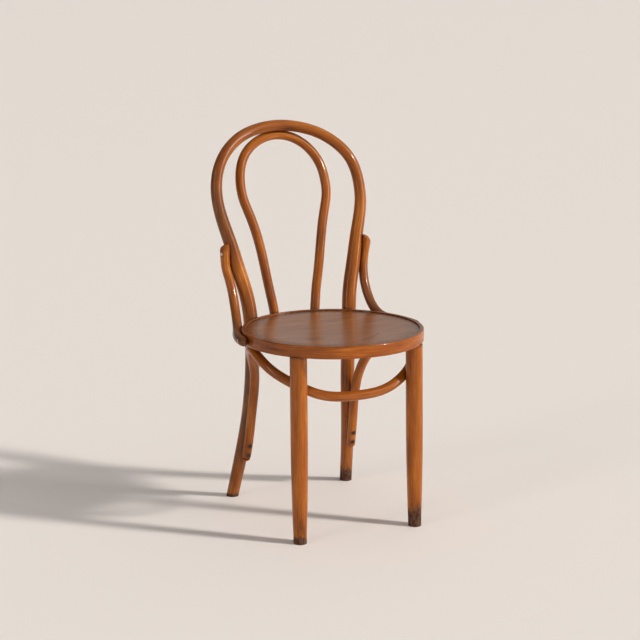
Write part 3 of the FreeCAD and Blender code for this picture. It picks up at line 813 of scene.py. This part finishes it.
def seat_mark_group():
    """Full strength along a short line, gone at its width."""
    tree, inputs = new_group(
        "seat mark", "ShaderNodeTree",
        [("Start", "Vector"), ("End", "Vector"), ("Width", "Float", 2 * MM),
         ("Strength", "Float", 0.5)], [("Mark", "Float")])
    place = add_value(tree, "ShaderNodeTexCoord", take="Object")
    run = vector_node("SUBTRACT", inputs["End"], inputs["Start"])
    off = vector_node("SUBTRACT", place, inputs["Start"])
    off = vector_node("MULTIPLY", off, (1, 1, 0))
    share = vector_node("DOT_PRODUCT", off, run) / vector_node("DOT_PRODUCT", run, run)
    nearest = vector_node("SCALE", run, share.clamped())
    apart = vector_node("LENGTH", vector_node("SUBTRACT", off, nearest))
    ragged = scaled_noise(place, FRAYED, 6.3, 3.0, 0.6)
    reach = inputs["Width"] * (ragged * 1.2 + 0.4)
    near = (1.0 - apart / reach).clamped()
    add_node(tree, "NodeGroupOutput", {"Mark": steps(near, 0.0, 0.6) * inputs["Strength"]})
    return tree


mark_group = seat_mark_group()


def mark_seat(material, marks):
    """Puts marks between a wood's colour and its shader."""
    tree = material.node_tree
    shader = tree.nodes["Principled BSDF"]
    colour = shader.inputs["Base Color"].links[0].from_socket
    for start, end, width, strength, shade in marks:
        mark = add_node(tree, "ShaderNodeGroup", node_tree=mark_group)
        for key, value in (("Start", start), ("End", end), ("Width", width),
                           ("Strength", strength)):
            mark.inputs[key].default_value = value
        colour = mix_colour(tree, mark.outputs["Mark"], colour, shade)
    fill(shader.inputs["Base Color"], colour)


# %% Varnished wood
def varnished_wood(name, dark, middle, light, seed, flecks=0.5, coat=0.5, specular=0.1,
                   coat_roughness=0.08):
    """A stained and varnished wood, from the two groups."""
    material, tree, shader = new_material(name)

    def stored(attribute, take="Fac"):
        return add_value(tree, "ShaderNodeAttribute", take=take, attribute_name=attribute)

    wood = add_node(tree, "ShaderNodeGroup",
                    {"Stick": stored("stick", "Vector"), "Dark": dark, "Middle": middle,
                     "Light": light, "Flecks": flecks, "Seed": seed}, node_tree=beech_group)
    use = add_node(tree, "ShaderNodeGroup",
                   {"Color": wood.outputs["Color"], "Roughness": wood.outputs["Roughness"],
                    "Nook": stored("nook"), "Worn Height": stored("worn_height"),
                    "Stain": stored("stain")}, node_tree=wear_and_shade_group)
    bump = add_node(tree, "ShaderNodeBump", {"Height": wood.outputs["Height"],
                                             "Strength": 0.25, "Distance": 0.2 * MM})
    for key, value in (("Base Color", use.outputs["Color"]),
                       ("Roughness", use.outputs["Roughness"]),
                       ("Coat Weight", Value(use.outputs["Varnish"]) * coat),
                       ("Coat Roughness", coat_roughness), ("Specular IOR Level", specular),
                       ("Normal", bump.outputs[0])):
        fill(shader.inputs[key], value)
    return material


# Name, dark streaks, ground, light streaks, seed
rod_wood = varnished_wood("bent beech", linear(92, 44, 8), linear(150, 80, 15),
                          linear(196, 120, 38), 1.0)
thin_rod_wood = varnished_wood("thin bent beech", linear(94, 44, 8), linear(152, 80, 16),
                               linear(196, 118, 38), 4.0)
leg_wood = varnished_wood("turned beech", linear(100, 49, 6), linear(160, 85, 14),
                          linear(202, 122, 38), 9.0)
ring_wood = varnished_wood("ring beech", linear(92, 42, 6), linear(150, 76, 12),
                           linear(206, 120, 28), 13.0)

print("woods:", [item.name for item in (rod_wood, thin_rod_wood, leg_wood, ring_wood)])

# %% Make the rods
pieces = {}
rod_woods = {"outer_back_hoop": rod_wood, "inner_back_hoop": thin_rod_wood,
             "leg_brace": thin_rod_wood, "arm_left": thin_rod_wood,
             "arm_right": thin_rod_wood, "front_leg_left": leg_wood,
             "front_leg_right": leg_wood}
TURNS = 288                  # steps round the seat
ring_low, ring_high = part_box("seat_ring")
seat_middle = (ring_low + ring_high) / 2
seat_radius = (ring_high.x - ring_low.x) / 2
for seed, (name, (line, radii)) in enumerate(lines.items()):
    pieces[name] = sweep_rod(name + "_rod", line, radii, rod_woods[name], float(seed))
cut_level(pieces["outer_back_hoop"], 0.0, True)
for side in ("left", "right"):
    cut_level(pieces["front_leg_" + side], 0.0, True)
    cut_level(pieces["front_leg_" + side], ring_low.z, False)

# %% Fit the rods to each other
ARM_TOP_ROUND = 19.0 * MM    # radius of the arm's rounded top
ARM_TOP_INSET = 8.0 * MM     # its middle, from the screw's head into the wood
BACK_STATIONS = 6            # stations over which the arm's own direction is taken


def fat_rod(name):
    """A copy of a rod, thicker by the fit, as a cutting tool."""
    line, radii = lines[name]
    return sweep_rod("tool", line, radii + FIT, None, 0.0, unevenness=0.0)


def ring_tool():
    """The ring's whole disc, thicker by the fit."""
    middle = Vector((seat_middle.x, seat_middle.y, ring_low.z))
    return plug(middle, (0, 0, 1), seat_radius + FIT, -FIT, ring_high.z - ring_low.z + FIT,
                TURNS)


def arm_top_tool(side):
    """What the spokeshave takes off an arm's top: all that is outside a ball."""
    (head, aim, radius, length), = [item for item in fasteners["arm_top_screws"]
                                    if (item[0][0] > 0) == (side == "right")]
    skin = skin_of("arm_" + side)[0]
    rod = lines["arm_" + side][0]
    climb = rod[0] - rod[BACK_STATIONS]
    climb /= np.linalg.norm(climb)
    nearest = np.linalg.norm(rod - head, axis=1).argmin()
    middle = rod[nearest] + aim * ARM_TOP_INSET
    tall = ((skin - middle) @ climb).max()
    middle = middle + climb * (tall - ARM_TOP_ROUND)
    tool = plug(middle, climb, 2 * ARM_TOP_ROUND, 0, 3 * ARM_TOP_ROUND)
    work = bmesh.new()
    bmesh.ops.create_uvsphere(work, u_segments=64, v_segments=48, radius=ARM_TOP_ROUND,
                              matrix=Matrix.Translation(Vector(middle)))
    cut_away(tool, [finish_mesh(work, "ball")])
    return tool


cut_away(pieces["outer_back_hoop"], [ring_tool()] + screw_holes("leg_bolts"))
cut_away(pieces["inner_back_hoop"],
         [ring_tool()] + screw_holes("inner_hoop_screws", "hoop_top_screw"))
for side in ("left", "right"):
    cut_away(pieces["arm_" + side],
             [arm_top_tool(side), ring_tool(), fat_rod("outer_back_hoop")]
             + screw_holes("arm_top_screws", "arm_seat_screws"))
cut_away(pieces["leg_brace"],
         [ring_tool(), fat_rod("outer_back_hoop"), fat_rod("front_leg_left"),
          fat_rod("front_leg_right")]
         + screw_holes("brace_foot_screws", "brace_leg_screws", "brace_seat_screws"))

# %% [markdown]
# ## Ring and seat
# The ring is one more bent stick, square instead of round, joined end to end. A lathe shape
# serves for it: an outline carried round the seat's middle. Its `stick` runs round the ring,
# and starts anew at the joint, as the real grain does. The seat panel is a thin pressed disc
# that lies in the ring's rebate. We build both by hand because each needs only one loop.

# %% A lathe for wood
def arc(centre, radius, start, end, count):
    """Points on a round corner, from one angle to another, in degrees."""
    turns = [math.radians(start + (end - start) * i / count) for i in range(count + 1)]
    return [(centre[0] + radius * math.cos(t), centre[1] + radius * math.sin(t))
            for t in turns]


def lathe(name, outline, closed, material, stick_of):
    """Carries an outline of (radius, height) round the seat's middle."""
    work = bmesh.new()
    stick = work.verts.layers.float_vector.new("stick")
    rows = []
    for radius, height in outline:
        row = []
        for i in range(1 if radius < 1e-6 else TURNS):
            turn = 2 * math.pi * i / TURNS
            place = (seat_middle.x + radius * math.cos(turn),
                     seat_middle.y + radius * math.sin(turn), height)
            vert = work.verts.new(place)
            vert[stick] = stick_of(radius, height, turn)
            row.append(vert)
        rows.append(row)
    pairs = list(zip(rows, rows[1:] + rows[:1])) if closed else list(zip(rows, rows[1:]))
    for low, high in pairs:
        for i in range(TURNS):
            k = (i + 1) % TURNS
            quad = [low[i % len(low)], low[k % len(low)], high[k % len(high)], high[i % len(high)]]
            work.faces.new(list(dict.fromkeys(quad)))
    bmesh.ops.recalc_face_normals(work, faces=work.faces)
    for face in work.faces:
        face.smooth = True
    piece = finish_mesh(work, name)
    piece.data.materials.append(material)
    print(name, len(piece.data.polygons), "faces")
    return piece


# %% The ring
TOP_ROUND = 3.0 * MM
UNDER_ROUND = 2.5 * MM
LIP_WIDTH = 10.0 * MM
LIP_ROUND = 1.5 * MM
REBATE = 8.0 * MM
RING_WIDTH = 38.0 * MM
LEVEL = 0.8                  # a face whose normal climbs more is the top of the lip


def ring_outline():
    outer, top, under = seat_radius, ring_high.z, ring_low.z
    lip = outer - LIP_WIDTH
    inner = outer - RING_WIDTH
    points = arc((outer - UNDER_ROUND, under + UNDER_ROUND), UNDER_ROUND, -90, 0, 6)
    points += [(outer, under + (top - under) * share) for share in (0.3, 0.5, 0.7)]
    points += arc((outer - TOP_ROUND, top - TOP_ROUND), TOP_ROUND, 0, 90, 10)
    points += arc((lip + LIP_ROUND, top - LIP_ROUND), LIP_ROUND, 90, 180, 5)
    points += [(lip, top - REBATE), (inner, top - REBATE), (inner, under)]
    return points


pieces["seat_ring"] = lathe(
    "seat_ring_hoop", ring_outline(), True, ring_wood,
    lambda radius, height, turn: (radius - seat_radius, height, turn * seat_radius))
cut_away(pieces["seat_ring"], screw_holes("leg_lock_screws"))

# %% The lip's top, browner and greyer like the seat: a painted reflection
lip_reflection_wood = varnished_wood("rubbed ring beech", linear(88, 46, 20), linear(126, 72, 32),
                          linear(160, 98, 48), 17.0, coat=0.8)
pieces["seat_ring"].data.materials.append(lip_reflection_wood)
# Upward faces take the lip's colour, which paints in the reflection of the pale surroundings
for face in pieces["seat_ring"].data.polygons:
    face.material_index = 1 if face.normal.z > LEVEL else 0

# %% The seat panel
panel_low, panel_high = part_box("seat_panel")
PANEL_THICK = 5.0 * MM
PANEL_FLAT = 30.0 * MM       # flat border round the dished middle
PANEL_EDGE = 0.8 * MM        # radius of its eased edge
BOWL_RINGS = 24
panel_radius = (panel_high.x - panel_low.x) / 2
dish = panel_high.z - panel_low.z - PANEL_THICK


def panel_outline():
    """Top of the disc from its middle outwards, and back along its underside."""
    bowl = panel_radius - PANEL_FLAT
    points = []
    for i in range(BOWL_RINGS + 1):
        radius = bowl * i / BOWL_RINGS
        points.append((radius, panel_high.z - dish * (1 - (radius / bowl) ** 2)))
    under = [(radius, height - PANEL_THICK) for radius, height in points][::-1]
    points += arc((panel_radius - PANEL_EDGE, panel_high.z - PANEL_EDGE), PANEL_EDGE, 90, 0, 4)
    return points + [(panel_radius, panel_high.z - PANEL_THICK)] + under


ply_wood = varnished_wood("seat plywood", linear(110, 58, 18), linear(142, 84, 32),
                          linear(168, 108, 50), 21.0, flecks=0.35, coat=1.0, specular=0.3,
                          coat_roughness=0.27)
print("panel dished", round(dish / MM, 1), "mm")

# %% Scratch, dark patch and rub on the seat
OLD_DIRT = (0.030, 0.014, 0.008, 1)
SCRATCH = [(0.004, -0.196), (0.020, -0.187), (0.039, -0.174), (0.061, -0.156), (0.076, -0.140)]
# Start, end, width, strength and colour of each line
seat_marks = [((*a, 0), (*b, 0), 3 * MM, 0.7, OLD_DIRT) for a, b in zip(SCRATCH, SCRATCH[1:])]
seat_marks += [((-0.084, -0.136, 0), (-0.072, -0.133, 0), 22 * MM, 0.35, OLD_DIRT),
               ((0.028, 0.026, 0), (0.047, 0.017, 0), 5 * MM, 0.3, OLD_DIRT)]
mark_seat(ply_wood, seat_marks)

# %% Turn the panel
pieces["seat_panel"] = lathe(
    "seat_panel_disc", panel_outline(), False, ply_wood,
    lambda radius, height, turn: (radius * math.sin(turn), height, radius * math.cos(turn)))

# %% [markdown]
# ## Old steel
# The screws have been there as long as the varnish. Most are dark with rust, the arms' screws
# are rubbed bright by hands, and the small pins round the seat took the stain with the wood.
# A fine noise parts clean metal from rust: where rust is, the metal goes dull and rough.

# %% Old steel
RUST_GRAIN = (900, 900, 900)


def old_steel(name, clean, rusty, rust_from, rust_to):
    """Screw steel, part clean and part rusty."""
    material, tree, shader = new_material(name)
    place = add_value(tree, "ShaderNodeTexCoord", take="Object")
    rust = scaled_noise(place, RUST_GRAIN, 2.0, 4.0, 0.6)
    rusted = steps(rust, rust_from, rust_to)
    bump = add_node(tree, "ShaderNodeBump", {"Height": rust, "Strength": 0.3,
                                             "Distance": 0.1 * MM})
    for key, value in (("Base Color", mix_colour(tree, rusted, clean, rusty)),
                       ("Roughness", rust * 0.5 + 0.15), ("Metallic", 1.0 - rusted),
                       ("Normal", bump.outputs[0])):
        fill(shader.inputs[key], value)
    return material


steel = old_steel("old screw steel", linear(74, 58, 44), linear(38, 22, 14), 0.30, 0.58)
rubbed_steel = old_steel("rubbed screw steel", linear(222, 196, 176), linear(120, 84, 62),
                         0.55, 0.8)
stained_steel = old_steel("stained pin steel", linear(120, 76, 40), linear(84, 50, 24),
                          0.1, 0.45)

# %% Make the screws, and finish the metal that the frame shows itself
for name in screw_nodes:
    pieces[name] = make_screws(name, rubbed_steel if name.startswith("arm") else steel)
for name, obj in nodes.items():
    if name not in pieces:
        obj.data.materials.clear()
        obj.data.materials.append(stained_steel if name == "panel_pins" else steel)

# %% Darken the nooks: dirt and painted shade where pieces meet
NOOK_REACH = 9 * MM


def surface_of(objects):
    """One search tree over the faces of several pieces."""
    points, faces = [], []
    for obj in objects:
        base = len(points)
        points += [v.co for v in obj.data.vertices]
        faces += [tuple(base + i for i in p.vertices) for p in obj.data.polygons]
    return BVHTree.FromPolygons(points, faces)


# Each point darkens by how near another piece is: dirt and painted shade in the corners
def mark_nook_dirt_and_shade():
    trees = {name: surface_of([piece]) for name, piece in pieces.items()}
    for name, piece in pieces.items():
        if name in screw_nodes:
            continue
        near = np.zeros(len(piece.data.vertices), np.float32)
        for i, vertex in enumerate(piece.data.vertices):
            for other, tree in trees.items():
                if other == name:
                    continue
                found = tree.find_nearest(vertex.co, NOOK_REACH)
                if found[0] is not None:
                    near[i] = max(near[i], 1 - found[3] / NOOK_REACH)
        store(piece.data, "nook", near ** 2)
        print(name, "points in nooks:", int((near > 0).sum()))


mark_nook_dirt_and_shade()

# %% Mark how far up each foot is worn
WORN_FEET = {"front_foot_right": 44 * MM, "front_foot_left": 17 * MM,
             "rear_foot_right": 38 * MM, "rear_foot_left": 9 * MM}


def mark_feet():
    """Gives each point of a leg the worn height of the nearest foot."""
    places = np.array([feet[name] for name in WORN_FEET])
    heights = np.array(list(WORN_FEET.values()))
    for name in ("outer_back_hoop", "front_leg_left", "front_leg_right"):
        mesh = pieces[name].data
        apart = np.linalg.norm(points_of(mesh)[:, None] - places[None], axis=2)
        store(mesh, "worn_height", heights[apart.argmin(1)])


mark_feet()

# %% Mark the darker stretches: stain and painted shade
# For each piece: middle of a stretch, how far it reaches, and how strong it is
# The shoulder is a stain; the left rear leg, under the seat, is painted shade; the arms' lower ends
# are stain and painted shade
STAINS_AND_SHADE = {"outer_back_hoop": [((-0.200, 0.130, 0.700), 0.15, 1.0),
                              ((-0.190, 0.150, 0.250), 0.30, 1.3)],
          "arm_left": [((-0.220, 0.0, 0.440), 0.15, 1.4)],
          "arm_right": [((0.220, 0.0, 0.440), 0.19, 1.6)]}


def mark_stains_and_shade():
    """Stain on the outer hoop's left shoulder; painted shade on its left rear leg under the seat,
    and stain with painted shade on the arms' lower ends.
    """
    for name, stretches in STAINS_AND_SHADE.items():
        points = points_of(pieces[name].data)
        values = np.zeros(len(points), np.float32)
        for middle, reach, strength in stretches:
            near = strength * (1 - np.linalg.norm(points - middle, axis=1) / reach)
            values = np.maximum(values, np.minimum(1.0, near))
        store(pieces[name].data, "stain", values)
        print(name, "stained and shaded points:", int((values > 0).sum()))


mark_stains_and_shade()

# %% Hang the pieces on the frame
SHARP = 40                   # degrees between faces, from which an edge looks sharp
for name, piece in pieces.items():
    piece.data.shade_smooth()
    piece.data.set_sharp_from_angle(angle=math.radians(SHARP))
    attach(piece, "root")
    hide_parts(name)
    next(part["material_slot"] for part in record["subparts"]
                        if part["node"] == name)

# %% [markdown]
# ## Camera, floor and light
# The camera stands to one side of the chair's front, far back with a long lens, so that the
# legs hardly converge. One warm lamp, far away on the right front, casts the shadows.
# Round rods mirror whatever stands round them, so the room has tall, narrow windows: each
# gives every rod one thin bright line. The rest of the room is dim and fills the shadows. The
# floor runs on past the view, so that it is the backdrop as well.

# %% Camera
FOCAL_PIXELS = 1650.0
IMAGE_PIXELS = 640.0
CAMERA_PLACE = (-1.5450, -3.2818, 1.2248)     # from the floor below the seat's middle
CAMERA_TURN = 24.76
CAMERA_DOWN = 11.87
CAMERA_ROLL = -0.12

camera = bpy.data.cameras.new("camera")
camera.sensor_width = 36.0
camera.lens = FOCAL_PIXELS / IMAGE_PIXELS * camera.sensor_width
camera_object = add_object("camera", camera)
camera_object.location = Vector(CAMERA_PLACE) + Vector((0, seat_middle.y, 0))
camera_object.rotation_euler = (
    Matrix.Rotation(math.radians(-CAMERA_TURN), 4, "Z")
    @ Matrix.Rotation(math.radians(90 - CAMERA_DOWN), 4, "X")
    @ Matrix.Rotation(math.radians(CAMERA_ROLL), 4, "Z")).to_euler()
bpy.context.scene.camera = camera_object

# %% Floor
FLOOR_REACH = 300.0


def plain_floor():
    mesh = bpy.data.meshes.new("floor")
    size = FLOOR_REACH
    mesh.from_pydata([(-size, -size, 0), (size, -size, 0), (size, size, 0), (-size, size, 0)],
                     [], [(0, 1, 2, 3)])
    material, tree, shader = new_material("pale floor")
    shader.inputs["Base Color"].default_value = linear(246, 240, 236)
    shader.inputs["Roughness"].default_value = 0.8
    mesh.materials.append(material)
    add_object("floor", mesh)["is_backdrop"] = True


plain_floor()

# %% The lamp
KEY_TURN = -41.0             # degrees from +X towards +Y: right front of the chair
KEY_HEIGHT = 31.0            # degrees above the floor
KEY_SIZE = 5.0               # degrees across: a little soft
KEY_STRENGTH = 2.1

key = bpy.data.lights.new("key", "SUN")
key.energy = KEY_STRENGTH
key.angle = math.radians(KEY_SIZE)
key.color = (1.0, 0.95, 0.88)
key_object = add_object("key", key)
turn, height = math.radians(KEY_TURN), math.radians(KEY_HEIGHT)
towards = Vector((math.cos(turn) * math.cos(height), math.sin(turn) * math.cos(height),
                  math.sin(height)))
key_object.rotation_euler = towards.to_track_quat("Z", "Y").to_euler()

# %% The room
ROOM_DIM = 0.14              # strength of the room's light on the side away from the lamp
ROOM_BRIGHT = 0.46           # and on its side
DIM_FROM, BRIGHT_FROM = -0.7, 0.9             # cosines of the way to the lamp
# Windows: degrees from +X towards +Y, degrees across, top in degrees, strength
WINDOWS = [(KEY_TURN, 8.0, 44.0, 10.0), (-163.0, 9.0, 38.0, 4.5), (45.0, 70.0, 40.0, 0.12)]
SOFT_SIDE = 1.0              # degrees over which a window's sides fade
SOFT_TOP = 3.0               # and its top


def cosine(degrees):
    return math.cos(math.radians(degrees))


def sine(degrees):
    return math.sin(math.radians(degrees))


world = bpy.data.worlds.new("room")
bpy.context.scene.world = world
world.use_nodes = True
room = world.node_tree
background = room.nodes["Background"]
background.inputs["Color"].default_value = (1.0, 0.97, 0.94, 1)
way = add_value(room, "ShaderNodeTexCoord", take="Generated")
lampward = steps(vector_node("DOT_PRODUCT", way, towards), DIM_FROM, BRIGHT_FROM)
strength = lampward * (ROOM_BRIGHT - ROOM_DIM) + ROOM_DIM
flat_way = vector_node("NORMALIZE", vector_node("MULTIPLY", way, (1, 1, 0)))
climb = add_value(room, "ShaderNodeSeparateXYZ", {0: way}, "Z")
for turn, across, top, bright in WINDOWS:
    beside = vector_node("DOT_PRODUCT", flat_way, (cosine(turn), sine(turn), 0))
    inside = steps(beside, cosine(across / 2 + SOFT_SIDE), cosine(across / 2 - SOFT_SIDE))
    under = 1.0 - steps(climb, sine(top - SOFT_TOP), sine(top + SOFT_TOP))
    strength = strength + inside * under * bright
fill(background.inputs["Strength"], strength)
print("room:", len(WINDOWS), "windows,", len(room.nodes), "nodes")

bpy.context.scene.view_settings.view_transform = "Standard"

# %% Print the size and finish
print("visual box", [[round(v, 3) for v in c] for c in corners()])
